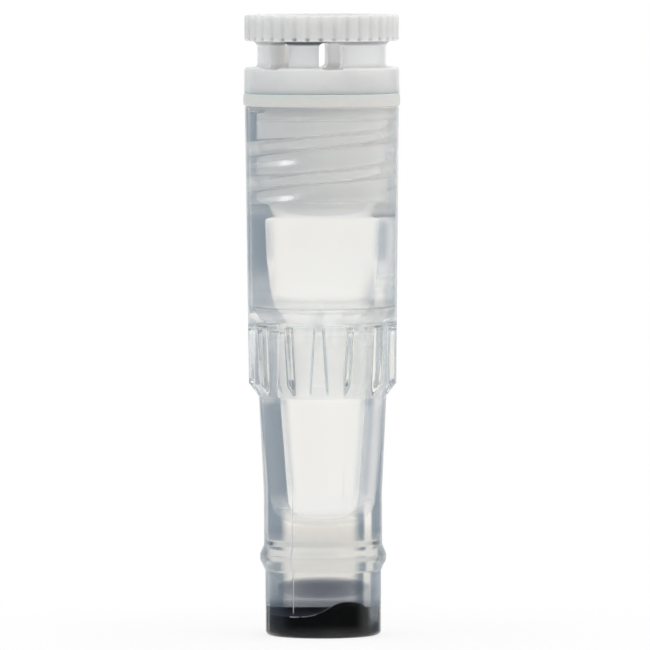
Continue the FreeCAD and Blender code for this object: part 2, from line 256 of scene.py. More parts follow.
# Clear polypropylene. A zone of heights is the span where it begins and the span where it ends.
wallLook = {
    "colour": (0.99, 0.99, 0.985, 1), "ior": 1.49, "shine": 0.15, "outerRoughness": 0.07,
    "tint": (0.70, 0.63, 0.47, 1), "tintDensity": 37.0,
    "waveSize": 900.0, "waveStrength": 0.35, "waveHeight": 0.000004,
    # the inner face is matt, more so behind the ribs and round the thread
    "innerRoughness": 0.19, "ribBlur": 0.32, "ribZone": ((0.0130, 0.0137), (0.0170, 0.0180)),
    "threadBlur": 0.22, "threadBlurFoot": (0.0238, 0.0246),
    # the parting line up the foot
    "seam": -31.0, "seamWidth": 0.00006, "seamZone": ((0.0013, 0.0015), (0.0050, 0.0100)),
    "seamStrength": 0.6, "seamHeight": 0.00002, "seamHaze": 0.75,
    # milky haze on the outside, most of it where the wall is seen edgewise
    "haze": (0.82, 0.88, 0.93, 1), "hazeThrough": 0.6, "hazeFoot": (0.0014, 0.0024),
    "evenHaze": 0.01, "edgeHaze": 0.75, "edgePower": 3.5, "ribHaze": 0.55, "ribPower": 1.5,
    "footHaze": 0.9, "footZone": ((0.0015, 0.0022), (0.0032, 0.0040)), "footPower": 1.5,
    "beadHaze": 0.10, "beadEdge": 0.6, "beadPower": 3.0, "beadZone": ((0.0034, 0.0042), (0.0052, 0.0060)),
    # a small dry patch low on the skirt, front right, finely streaked
    "dryHaze": 0.50, "dryZone": ((0.0004, 0.0012), (0.0014, 0.0026)), "drySide": (0.0024, 0.0027),
    "dryFront": (-0.0013, -0.0004), "streakSize": 14000.0, "streaks": (0.4, 0.7, 0.75, 1.0),
    # painted shade where the wall mirrors inside itself, less on the right
    "shade": (0.335, 0.415, 0.505, 1), "shadePower": 4.0, "shadeLeft": 0.85,
    "shadeRight": (0.32, 0.20), "shadeRightStep": (0.012, 0.014), "middle": (-0.001, 0.001),
    "shadeTop": (0.0288, 0.0294), "ribShade": 0.5, "ribShadeZone": ((0.0126, 0.0134), (0.0170, 0.0178)),
    "threadFoot": (0.0240, 0.0246), "threadCrest": (0.00350, 0.00358),
    # how much light goes straight on through the inner face
    "floorStraight": 0.85, "floorTop": (0.0064, 0.0082),
    "shoulderStraight": 0.55, "shoulderZone": ((0.0156, 0.0170), (0.0190, 0.0206)),
    "boreStraight": 0.62, "boreFoot": (0.0230, 0.0237),
    "mouthStraight": 0.3, "mouthFoot": (0.0284, 0.0289),
    "barBelow": 0.3, "barFoot": (0.0266, 0.0272),
    # bright spots on the thread, front left
    "glint": 0.85, "glintTilt": 0.24, "glintStart": 0.57, "glintHalf": 0.14, "glintRoughness": 0.18,
    "glintZone": ((0.0235, 0.0239), (0.0272, 0.0276)),
    "glintSides": ((-0.0039, -0.0026), (-0.0022, -0.0009)),
}


def partingLine(x, y, z):
    # where the plane through the axis at the seam's azimuth meets the foot: |x cos a + y sin a| is
    # less than the line's width
    look = wallLook
    way = radians(look["seam"])
    aside = (x * cos(way) + y * sin(way)).maths("ABSOLUTE")
    return aside.ease(0.0, look["seamWidth"], 1.0, 0.0) * z.zone(*look["seamZone"])


def outerHaze(tree, place, seam):
    # the sum of an even haze, haze that grows as a power of how edgewise the wall is seen, and the
    # dry patch and the seam
    look = wallLook
    x, y, z = tree.axes(place)
    edgewise = tree.add("ShaderNodeLayerWeight", {}, {"Blend": 0.5}, out=1)
    haze = edgewise ** look["edgePower"] * look["edgeHaze"] + look["evenHaze"]
    bead = edgewise ** look["beadPower"] * look["beadEdge"] + look["beadHaze"]
    haze = haze + z.zone(*look["beadZone"]) * bead
    haze = haze + z.zone(*look["footZone"], look["footHaze"]) * edgewise ** look["footPower"]
    haze = haze + z.zone(*look["ribZone"], look["ribHaze"]) * edgewise ** look["ribPower"]
    streaks = tree.noise(place, look["streakSize"], 1.0).ease(*look["streaks"])
    dry = streaks * x.ease(*look["drySide"], 0.0, look["dryHaze"]) * y.ease(*look["dryFront"], 1.0, 0.0)
    return haze * z.ease(*look["hazeFoot"]) + dry * z.zone(*look["dryZone"]) + seam * look["seamHaze"]


def innerShade(tree, x, y, z):
    # painted shade: where the wall mirrors inside itself, a bluish grey diffuse colour is mixed into
    # its inner face, by Fresnel to a power times a share that eases across x, left out on the thread
    # and lower behind the ribs
    look = wallLook
    mirror = tree.add("ShaderNodeFresnel", {}, {"IOR": look["ior"]}) ** look["shadePower"]
    right = z.ease(*look["shadeRightStep"], *look["shadeRight"])
    share = mirror * x.ease(*look["middle"], look["shadeLeft"], right)
    onThread = z.ease(*look["threadFoot"]) * across(x, y).ease(*look["threadCrest"], 1.0, 0.0)
    behindRibs = z.zone(*look["ribShadeZone"], look["ribShade"])
    return share * z.ease(*look["shadeTop"], 1.0, 0.0) * (1 - behindRibs) * (1 - onThread)


def straightOn(x, z, shade):
    # the well's floor, its shoulder, the bore round the plug and the mouth fade out in the milky
    # wall, except in a bar on the left over the thread's upper turn, where the painted shade shows dark
    look = wallLook
    floorShare = z.ease(*look["floorTop"], look["floorStraight"], 0.0)
    shoulderShare = z.zone(*look["shoulderZone"], look["shoulderStraight"])
    boreShare = z.ease(*look["boreFoot"], 0.0, look["boreStraight"])
    boreShare = boreShare + z.ease(*look["mouthFoot"], 0.0, look["mouthStraight"])
    leftBar = shade * x.ease(*look["middle"], 1.0, 0.0) * z.ease(*look["barFoot"], look["barBelow"], 1.0)
    return floorShare + shoulderShare + boreShare * (1 - leftBar)


def threadGlint(tree, x, y, z, pitch):
    # The thread in the wall mirrors the lamp on the left, in spots on the front left where
    # height / pitch - azimuth / full turn - start comes near a whole number. Returns their share
    # and the mirror, whose normal is tilted up.
    look = wallLook
    turnsUp = z * (1 / pitch) - x.maths("ARCTAN2", y * -1) * (0.5 / pi) + (0.5 - look["glintStart"])
    away = (turnsUp.maths("FRACT") - 0.5).maths("ABSOLUTE")
    spot = away.ease(0.0, look["glintHalf"], look["glint"], 0.0)
    spot = spot * z.zone(*look["glintZone"]) * x.zone(*look["glintSides"])
    facing = tree.add("ShaderNodeNewGeometry", out=1)
    upwards = (0.0, 0.0, look["glintTilt"])
    tilted = tree.add("ShaderNodeVectorMath", {"operation": "ADD"}, {0: facing, 1: upwards})
    mirror = tree.add("ShaderNodeBsdfPrincipled", {}, {
        "Base Color": grey(0.97), "Metallic": 1.0, "Roughness": look["glintRoughness"],
        "Normal": tree.add("ShaderNodeVectorMath", {"operation": "NORMALIZE"}, {0: tilted})})
    return spot, mirror


def clearWall(pitch):
    # Glassy outside and finely matt on the inner face, so what it mirrors within the wall is
    # blurred. The light that comes through turns warmer and weaker with the wall's thickness.
    look = wallLook
    material, tree = newMaterial("clearWall")
    place = tree.add("ShaderNodeTexCoord", out=3)
    x, y, z = tree.axes(place)
    inner = tree.add("ShaderNodeAttribute", {"attribute_name": "inner"}, out=2)
    seam = partingLine(x, y, z)
    sway = tree.bumps(tree.noise(place, look["waveSize"], 2.0), look["waveStrength"], look["waveHeight"])
    ridge = tree.add("ShaderNodeBump", {}, {
        "Strength": look["seamStrength"], "Distance": look["seamHeight"], "Height": seam, "Normal": sway})
    blur = z.zone(*look["ribZone"], look["ribBlur"])
    blur = blur + z.ease(*look["threadBlurFoot"], 0.0, look["threadBlur"])
    more = blur + (look["innerRoughness"] - look["outerRoughness"])
    glass = tree.add("ShaderNodeBsdfPrincipled", {}, {
        "Base Color": look["colour"], "Roughness": inner * more + look["outerRoughness"],
        "IOR": look["ior"], "Specular IOR Level": look["shine"], "Transmission Weight": 1.0,
        "Normal": ridge})
    back = tree.add("ShaderNodeBsdfDiffuse", {}, {"Color": look["haze"]})
    through = tree.add("ShaderNodeBsdfTranslucent", {}, {"Color": look["haze"]})
    milk = tree.mixed(look["hazeThrough"], back, through)
    surface = tree.mixed((1 - inner) * outerHaze(tree, place, seam), glass, milk)
    # painted shade: a bluish grey diffuse surface mixed into the inner face where it mirrors
    shade = innerShade(tree, x, y, z)
    shaded = tree.add("ShaderNodeBsdfDiffuse", {}, {"Color": look["shade"]})
    surface = tree.mixed(inner * shade, surface, shaded)
    clear = tree.add("ShaderNodeBsdfTransparent")
    surface = tree.mixed(inner * straightOn(x, z, shade), surface, clear)
    spot, mirror = threadGlint(tree, x, y, z, pitch)
    surface = tree.mixed(inner * spot, surface, mirror)
    inside = tree.add("ShaderNodeVolumeAbsorption", {}, {
        "Color": look["tint"], "Density": look["tintDensity"]})
    tree.add("ShaderNodeOutputMaterial", {}, {"Surface": surface, "Volume": inside})
    return material


def naturalCap(plugTop, flangeTop, headFoot):
    # Natural polypropylene: milky, light comes through it, satin on its surface. The plug and the
    # thin neck are painted paler than the flange as painted light, and the head a little darker as
    # painted shade. The neck's ends are counted from the flange and from the head. The crease under
    # the head carries painted shade, most of it a little left of the front.
    look = {
        "colour": (0.74, 0.74, 0.735, 1), "cloud": (0.80, 0.80, 0.79, 1), "cloudSize": 500.0,
        "plug": (0.99, 0.985, 0.97, 1), "plugSoft": 0.0002, "neck": (0.96, 0.955, 0.95, 1),
        "neckFoot": (0.0, 0.0003), "neckTop": (-0.0001, 0.0002), "head": 0.95, "headSoft": 0.0002,
        "crease": (0.10, 0.105, 0.13, 1), "creaseReach": (0.00010, 0.00028),
        "creaseRadius": (0.0041, 0.0043), "creaseMiddle": -0.0009, "creaseSides": (0.0009, 0.0016),
        "creaseBeside": 0.55, "grainSize": 9000.0, "grainStrength": 0.3, "grainHeight": 0.000006,
        "roughness": 0.24, "ior": 1.49, "glowDepth": 0.0011, "glowColour": (1.0, 0.95, 0.9),
    }
    material, tree = newMaterial("naturalCap")
    place = tree.add("ShaderNodeTexCoord", out=3)
    x, y, z = tree.axes(place)
    clouds = tree.noise(place, look["cloudSize"], 3.0).ease(0.3, 0.7)
    colour = tree.blend(clouds, look["colour"], look["cloud"])
    # painted light: the plug inside the tube is paler than the rest
    overPlug = z.ease(plugTop - look["plugSoft"], plugTop + look["plugSoft"])
    colour = tree.blend(overPlug, look["plug"], colour)
    # painted light: the thin neck is paler
    neckFoot = (flangeTop + away for away in look["neckFoot"])
    neckTop = (headFoot + away for away in look["neckTop"])
    colour = tree.blend(z.zone(neckFoot, neckTop), colour, look["neck"])
    # painted shade: the head a little darker
    paintedHeadShade = z.ease(headFoot, headFoot + look["headSoft"], 0.0, 1 - look["head"])
    colour = tree.blend(paintedHeadShade, colour, grey(0.0))
    # painted shade in the crease under the head, darkest a little left of the front
    nearCrease = (z - headFoot).maths("ABSOLUTE").ease(*look["creaseReach"], 1.0, 0.0)
    underHead = across(x, y).ease(*look["creaseRadius"], 1.0, 0.0)
    aside = (x - look["creaseMiddle"]).maths("ABSOLUTE")
    darkest = aside.ease(*look["creaseSides"], 1.0, look["creaseBeside"])
    colour = tree.blend(nearCrease * underHead * darkest, colour, look["crease"])
    grain = tree.noise(place, look["grainSize"], 2.0)
    surface = tree.add("ShaderNodeBsdfPrincipled", {}, {
        "Base Color": colour, "Roughness": look["roughness"], "IOR": look["ior"],
        "Subsurface Weight": 1.0, "Subsurface Scale": look["glowDepth"],
        "Subsurface Radius": look["glowColour"],
        "Normal": tree.bumps(grain, look["grainStrength"], look["grainHeight"])})
    tree.add("ShaderNodeOutputMaterial", {}, {"Surface": surface})
    return material


def paleSeal():
    # a soft pale elastomer, matt and faintly cloudy, with a little light in it
    look = {
        "colour": (0.74, 0.73, 0.70, 1), "cloud": (0.78, 0.77, 0.745, 1), "cloudSize": 1200.0,
        "grainSize": 12000.0, "grainStrength": 0.25, "grainHeight": 0.000005,
        "roughness": 0.5, "ior": 1.42, "glow": 0.6, "glowDepth": 0.0006,
    }
    material, tree = newMaterial("paleSeal")
    place = tree.add("ShaderNodeTexCoord", out=3)
    grain = tree.noise(place, look["grainSize"], 2.0)
    surface = tree.add("ShaderNodeBsdfPrincipled", {}, {
        "Base Color": tree.blend(tree.noise(place, look["cloudSize"], 3.0), look["colour"], look["cloud"]),
        "Roughness": look["roughness"], "IOR": look["ior"],
        "Subsurface Weight": look["glow"], "Subsurface Scale": look["glowDepth"],
        "Normal": tree.bumps(grain, look["grainStrength"], look["grainHeight"])})
    tree.add("ShaderNodeOutputMaterial", {}, {"Surface": surface})
    return material


def blackBase():
    # Carbon black with a satin skin, lighter and bluer where it faces up. Along its upper edge runs a
    # thin pale line.
    look = {
        "deep": (0.001, 0.001, 0.0014, 1), "worn": (0.003, 0.003, 0.0035, 1), "cloudSize": 1500.0,
        "upTone": (0.062, 0.066, 0.088, 1), "upToneTilt": (0.2, 0.9),
        "line": (0.75, 0.77, 0.8, 1), "lineEdge": (0.35, 0.8),
        "grainSize": 15000.0, "grainStrength": 0.4, "grainHeight": 0.000006, "roughness": 0.45,
    }
    material, tree = newMaterial("blackBase")
    place = tree.add("ShaderNodeTexCoord", out=3)
    edge = tree.add("ShaderNodeAttribute", {"attribute_name": "edge"}, out=2)
    up = tree.axes(tree.add("ShaderNodeTexCoord", out=1))[2]
    colour = tree.blend(tree.noise(place, look["cloudSize"], 4.0), look["deep"], look["worn"])
    # lighter and bluer where it faces up
    colour = tree.blend(up.ease(*look["upToneTilt"]), colour, look["upTone"])
    colour = tree.blend(edge.ease(*look["lineEdge"]), colour, look["line"])
    grain = tree.noise(place, look["grainSize"], 2.0)
    surface = tree.add("ShaderNodeBsdfPrincipled", {}, {
        "Base Color": colour, "Roughness": look["roughness"], "Specular IOR Level": 0.0,
        "Normal": tree.bumps(grain, look["grainStrength"], look["grainHeight"])})
    tree.add("ShaderNodeOutputMaterial", {}, {"Surface": surface})
    return material


def paintedShadeFoot(colour, density):
    # painted shade in the clear foot: no surface of its own, it only takes light away
    material, tree = newMaterial("paintedShadeFoot")
    clear = tree.add("ShaderNodeBsdfTransparent")
    inside = tree.add("ShaderNodeVolumeAbsorption", {}, {"Color": colour, "Density": density})
    tree.add("ShaderNodeOutputMaterial", {}, {"Surface": clear, "Volume": inside})
    return material


tube = {
    "recessRadius": 2.66, "recessTop": 0.9, "skirtRadius": 3.2, "footRound": 0.28,
    "beadHeight": 4.42, "beadRadius": 3.49, "beadRound": 0.22,
    "beadFoot": 0.80, "beadUnder": 0.22, "beadOver": 0.10, "beadTop": 0.62,  # from the bead's height
    "stemRadius": 3.27, "stemTopRadius": 3.53, "stemTaperStart": 7.9,
    "collarHeight": 13.28, "collarBevel": 0.72, "collarRadius": 4.08,
    "rimRound": 0.12, "mouthBevel": 0.15, "mouthDepth": 0.35, "lip": (0.01, 0.03),
    "boreRadius": 3.6, "boreEnd": 24.0, "landRadius": 3.175, "landDrop": 0.8,
    "lowBoreRadius": 3.09, "shoulder": 20.8,
    # radius and height
    "wellShoulder": (2.88, 18.9), "wellTop": (2.46, 17.0), "wellMiddle": (2.36, 12.95),
    "wellLow": (1.93, 7.3),
    "wellFloor": 6.13, "floorDish": (0.28, 0.14),
    "threadStep": 0.075, "step": 0.5,
}
# Twelve grip pockets: half widths at the foot and the top, the width of a wall's slope, and how many
# columns of the mesh each stretch has.
pockets = {
    "count": 12, "phase": 12.0, "floor": 3.55, "top": 17.33, "foot": 12.75,
    "footHalf": 0.44, "topHalf": 0.71, "round": 0.25, "wall": 0.20, "ceiling": 0.10,
    "inFloor": 6, "inWall": 6, "inRib": 4,
    "closeRows": ((0.036, -0.35), (0.043, 0.15)),  # beyond the collar's radius and the pockets' top
}
tubeThread = {
    "foot": 24.67, "top": 28.18, "phase": -150.0, "pitch": 1.95,
    "crest": 0.30, "root": 0.96, "rise": 0.3, "runOut": 0.02,
}


def pocketColumns(height):
    # The azimuth of each column at each height. The columns of a pocket share out its floor, its two
    # walls and the ribs beside it, so they follow the walls as the pocket widens upwards.
    up = np.clip((height - pockets["foot"]) / (pockets["top"] - pockets["foot"]), 0, 1)
    half = pockets["footHalf"] + (pockets["topHalf"] - pockets["footHalf"]) * up
    above = np.clip(height - (pockets["top"] - pockets["round"]), 0, pockets["round"])
    half = half - pockets["round"] + np.sqrt(pockets["round"] ** 2 - above**2)
    inner = np.arcsin((half - pockets["wall"] / 2) / pockets["floor"])
    outer = np.arcsin((half + pockets["wall"] / 2) / pockets["floor"])
    edge = np.full_like(inner, pi / pockets["count"])
    marks = np.stack([-edge, -outer, -inner, inner, outer, edge], 1)
    counts = [pockets["inRib"], pockets["inWall"], pockets["inFloor"], pockets["inWall"], pockets["inRib"]]
    part = np.repeat(np.arange(5), counts)
    share = np.concatenate([np.arange(n) / n for n in counts])
    within = marks[:, part] + share * (marks[:, part + 1] - marks[:, part])
    slopes = [easeStep(share, 0, 1), 1.0, 1 - easeStep(share, 0, 1)]
    depth = np.select([part == 1, part == 2, part == 3], slopes, 0.0)
    middles = radians(pockets["phase"]) + 2 * pi / pockets["count"] * np.arange(pockets["count"])
    azimuth = (middles[None, :, None] + within[:, None, :]).reshape(len(height), -1)
    flat = pockets["floor"] / np.cos(within)
    return azimuth, np.tile(flat, (1, pockets["count"])), np.tile(depth, pockets["count"])


def makeTube():
    # One profile turned round the axis: up the outside and down the bore and the well. Inside a
    # pocket the radius drops to a flat floor, floor / cos(angle from its middle), and in the bore
    # the thread's ridge is taken off it.
    t, step = tube, tube["step"]
    (lowOut, lowUp), (highOut, highUp) = pockets["closeRows"]
    outside = roundedPath([
        (0, t["recessTop"], 0, step), (t["recessRadius"], t["recessTop"], 0.04, step),
        (t["recessRadius"], 0, 0.03, 0.1), (t["skirtRadius"], 0, t["footRound"], step),
        (t["skirtRadius"], t["beadHeight"] - t["beadFoot"], 0.25, 0.05),
        (t["beadRadius"], t["beadHeight"] - t["beadUnder"], t["beadRound"], 0.05),
        (t["beadRadius"], t["beadHeight"] + t["beadOver"], t["beadRound"], 0.05),
        (t["stemRadius"], t["beadHeight"] + t["beadTop"], 0.30, step),
        (t["stemRadius"], t["stemTaperStart"], 6.0, step),
        (t["stemTopRadius"], t["collarHeight"], 0.10, 0.05),
        (t["collarRadius"], t["collarHeight"] + t["collarBevel"], 0.12, 0.28),
        (t["collarRadius"] + lowOut, pockets["top"] + lowUp, 0.0, 0.035),
        (t["collarRadius"] + highOut, pockets["top"] + highUp, 0.0, 0.9),
        (rimRadius, tubeTop, t["rimRound"], step),
        (t["boreRadius"] + t["mouthBevel"], tubeTop, 0.06, 0.1)])
    dishIn, dishUp = t["floorDish"]
    lipIn, lipDown = t["lip"]
    inside = roundedPath([
        (t["boreRadius"] + t["mouthBevel"] - lipIn, tubeTop - lipDown, 0, 0.1),
        (t["boreRadius"], tubeTop - t["mouthDepth"], 0.2, t["threadStep"]),
        (t["boreRadius"], t["boreEnd"] + 0.1, 0.5, t["threadStep"]),
        (t["landRadius"], t["boreEnd"] - t["landDrop"], 0.5, step),
        (t["lowBoreRadius"], t["shoulder"], 2.0, 0.2), (*t["wellShoulder"], 5.0, 0.3),
        (*t["wellTop"], 4.0, step), (*t["wellMiddle"], 12.0, step), (*t["wellLow"], 2.0, 0.3),
        (t["wellLow"][0] - dishIn, t["wellFloor"] + dishUp, 1.0, 0.2), (0, t["wellFloor"], 0, step)])
    path = np.vstack([outside, inside])
    azimuth, flat, depth = pocketColumns(path[:, 1])
    radius, height = np.broadcast_to(path[:, :1], azimuth.shape).copy(), path[:, 1:]
    outer = np.arange(len(path)) < len(outside)
    ribbed = outer & (path[:, 1] > pockets["foot"])
    reach = 1 - easeStep(height[ribbed], pockets["top"] - pockets["ceiling"], pockets["top"])
    radius[ribbed] -= np.clip(radius[ribbed] - flat[ribbed], 0, None) * depth * reach
    threaded = ~outer & (path[:, 1] > t["boreEnd"] + 0.1)
    radius[threaded] -= threadRidge(azimuth[threaded], height[threaded], tubeThread)
    piece = turned("vialTube", inRound(azimuth, radius, height), {"inner": ~outer})
    piece.data.materials.append(clearWall(tubeThread["pitch"] * mm))
    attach(piece, "tube")
    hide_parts("tube")
    print("tube made:", len(piece.data.polygons), "faces")


# The base insert's rim is a level with waves on it, each an azimuth, a rise and a width.
insert = {
    "radius": 2.675, "foot": 0.1, "inset": 0.05, "dip": 0.1, "rows": 30, "columns": 480,
    "level": 1.17, "waves": [(24.0, 0.82, 26.0), (48.0, 0.30, 14.0), (180.0, 0.31, 70.0)],
    "sideTop": -0.1, "rimRows": (-0.075, -0.05, 0.0),  # from the rim
    # the pale line along the rim
    "line": (-41.0, 26.0), "lineFade": 24.0, "lineUneven": (0.6, 1.0), "lineUnder": 0.65,
    "lineBright": (8.0, 16.0), "lineDrop": 0.25,
}


def makeInsert():
    # The rim climbs the wall in slow waves: a level plus rise * exp(-(away / width)^2) for each.
    # The top falls inwards from the rim to its mean height less the dip.
    i = insert
    azimuth = np.linspace(-pi, pi, i["columns"], endpoint=False)
    turn = np.degrees(azimuth)
    edge = np.full_like(azimuth, i["level"])
    for middle, rise, width in i["waves"]:
        away = (turn - middle + 180) % 360 - 180
        edge += rise * np.exp(-((away / width) ** 2))
    wall, low = i["radius"], i["foot"] + i["inset"]
    foot = inRound(azimuth, (wall - i["inset"]) * np.linspace(0, 1, 8)[:, None], i["foot"])
    side = inRound(azimuth, wall, low + (edge + i["sideTop"] - low) * np.linspace(0, 1, i["rows"])[:, None])
    rim = inRound(azimuth, wall, edge + np.array(i["rimRows"])[:, None])
    inward = np.concatenate([[0.99], np.linspace(0.97, 0, 20)])[:, None]
    mean = edge.mean()
    top = inRound(azimuth, wall * inward, mean + (edge - mean) * inward**2 - i["dip"] * (1 - inward))
    piece = turned("baseInsert", np.vstack([foot, side, rim, top]))
    # the pale line comes and goes along the rim, brightest at its start
    first, last = i["line"]
    shown = easeStep(turn, first - 1, first + 1) * (1 - easeStep(turn, last - i["lineFade"], last))
    shown = shown * np.random.default_rng(5).uniform(*i["lineUneven"], len(turn))
    shown = shown * (1 - easeStep(turn, *(first + away for away in i["lineBright"])) * i["lineDrop"])
    marks = np.zeros(len(piece.data.vertices))
    # the line covers the rim's row at the edge and the one below it
    place = 1 + (len(foot) + len(side) + 1) * len(azimuth)
    marks[place - len(azimuth):place] = shown * i["lineUnder"]
    marks[place:place + len(azimuth)] = shown
    layer = piece.data.attributes.new("edge", "FLOAT", "POINT")
    layer.data.foreach_set("value", marks.astype(np.float32))
    piece.data.materials.append(blackBase())
    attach(piece, "tube")
    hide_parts("code_base")
    print("base insert made")


# Painted shade inside the clear foot, each a round puff that only darkens the light through it: a
# cloud over the insert, its darker core and bed, and a wide thin mist.
paintedFootShades = {
    "cloud": {"radius": 2.50, "middle": 1.75, "half": 1.40, "sides": 0.7,
              "colour": (0.05, 0.10, 0.20, 1), "density": 230.0},
    "core": {"radius": 1.70, "middle": 2.69, "half": 0.62, "sides": 0.8,
             "colour": (0.05, 0.10, 0.24, 1), "density": 300.0},
    "bed": {"radius": 2.60, "middle": 1.35, "half": 0.62, "sides": 0.5,
            "colour": (0.05, 0.10, 0.20, 1), "density": 150.0},
    "mist": {"radius": 2.95, "middle": 4.40, "half": 1.80, "sides": 0.4,
             "colour": (0.50, 0.50, 0.49, 1), "density": 72.0},
}


def makePaintedFootShade():
    # A sphere squashed to a lens with full sides: r = radius sin(t)^sides, h = middle - half cos(t).
    turn = np.linspace(0, pi, 33)[:, None]
    azimuth = np.linspace(0, 2 * pi, 64, endpoint=False)
    for name, puff in paintedFootShades.items():
        radius = puff["radius"] * np.sin(turn) ** puff["sides"]
        height = puff["middle"] - puff["half"] * np.cos(turn)
        piece = turned("paintedShade" + name.capitalize(), inRound(azimuth, radius, height))
        # painted shade: the puff only darkens the light through the foot
        piece.data.materials.append(paintedShadeFoot(puff["colour"], puff["density"]))
        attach(piece, "tube")
    print("paintedShade foot made:", len(paintedFootShades), "puffs")


seal = {"inner": 3.52, "bulge": 0.02, "sideRound": 1.2, "footRound": 0.12, "topRound": 0.06,
        "innerRound": 0.03, "step": 0.1, "gap": 0.05, "columns": 192}


def makeSeal():
    # A flat ring with a slightly bulged side: its profile starts and ends halfway up the hole's
    # wall, a small gap apart, and is turned round the axis.
    s, step = seal, seal["step"]
    outer, low, high = sealHigh.x, sealLow.z, sealHigh.z
    middle = (low + high) / 2
    path = roundedPath([
        (s["inner"], middle, 0, step), (s["inner"], low, s["innerRound"], step),
        (outer - s["bulge"], low, s["footRound"], step), (outer, middle, s["sideRound"], step),
        (outer - s["bulge"], high, s["topRound"], step), (s["inner"], high, s["innerRound"], step),
        (s["inner"], middle + s["gap"], 0, step)])
    azimuth = np.linspace(0, 2 * pi, s["columns"], endpoint=False)
    piece = turned("sealRing", inRound(azimuth, path[:, :1], path[:, 1:]))
    piece.data.materials.append(paleSeal())
    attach(piece, "seal")
    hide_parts("seal_ring")
    print("seal ring made")


cap = {
    "tipFlat": 2.7, "tipRadius": 3.1, "tipBevel": 0.55, "rootRadius": 3.2, "rootRise": 0.25,
    "guideRadius": 3.48, "guideHeight": 0.55, "flangeHeight": 1.45, "neckRadius": 3.57,
    "neckHeight": 1.45, "headRadius": 4.28, "socketRadius": 2.4, "socketFloor": 0.9,
    "socketBevel": 0.3, "sharpAngle": 38.0,
}
knurl = {"count": 36, "phase": 9.4, "depth": 0.11, "half": 0.25, "columns": 10}
windows = {"width": 1.37, "height": 1.49, "round": 0.28, "azimuths": (-41.5, 8.5), "sink": 0.1}
capThread = {
    "foot": 24.17, "top": 27.485, "phase": -100.0, "pitch": 1.95,
    "crest": 0.38, "root": 0.88, "rise": 0.3, "runOut": 0.02,
}


def windowBar(azimuth, low):
    # A rounded bar that goes right through the neck along its azimuth. Its outline is a rectangle
    # less its round, sign(cos t) * (half - round) + round * cos t, and the same upwards with sin.
    half, high, soft = windows["width"] / 2, windows["height"], windows["round"]
    turn = np.linspace(0, 2 * pi, 48, endpoint=False)
    sideways = np.sign(np.cos(turn)) * (half - soft) + soft * np.cos(turn)
    upwards = low + high / 2 + np.sign(np.sin(turn)) * (high / 2 - soft) + soft * np.sin(turn)
    way = radians(azimuth)
    out, side = np.array([sin(way), -cos(way)]), np.array([cos(way), sin(way)])
    reach = 2 * cap["headRadius"]
    spots = np.vstack([
        np.column_stack([out * reach * end + sideways[:, None] * side, upwards]) for end in (-1, 1)])
    n = len(turn)
    first = np.arange(n)
    beside = np.roll(first, -1)
    sides = np.stack([first, beside, beside + n, first + n], -1)
    return meshFrom("windowBar", spots, [sides, first[None, ::-1], (first + n)[None, :]], smooth=False)


def cutAway(piece, tool):
    # takes the tool out of the piece and throws the tool away
    cut = piece.modifiers.new("cut", "BOOLEAN")
    cut.operation, cut.solver, cut.object = "DIFFERENCE", "EXACT", tool
    bpy.context.view_layer.update()
    made = bpy.data.meshes.new_from_object(piece.evaluated_get(bpy.context.evaluated_depsgraph_get()))
    piece.modifiers.clear()
    old = piece.data
    piece.data = made
    bpy.data.meshes.remove(old)
    bpy.data.objects.remove(tool)


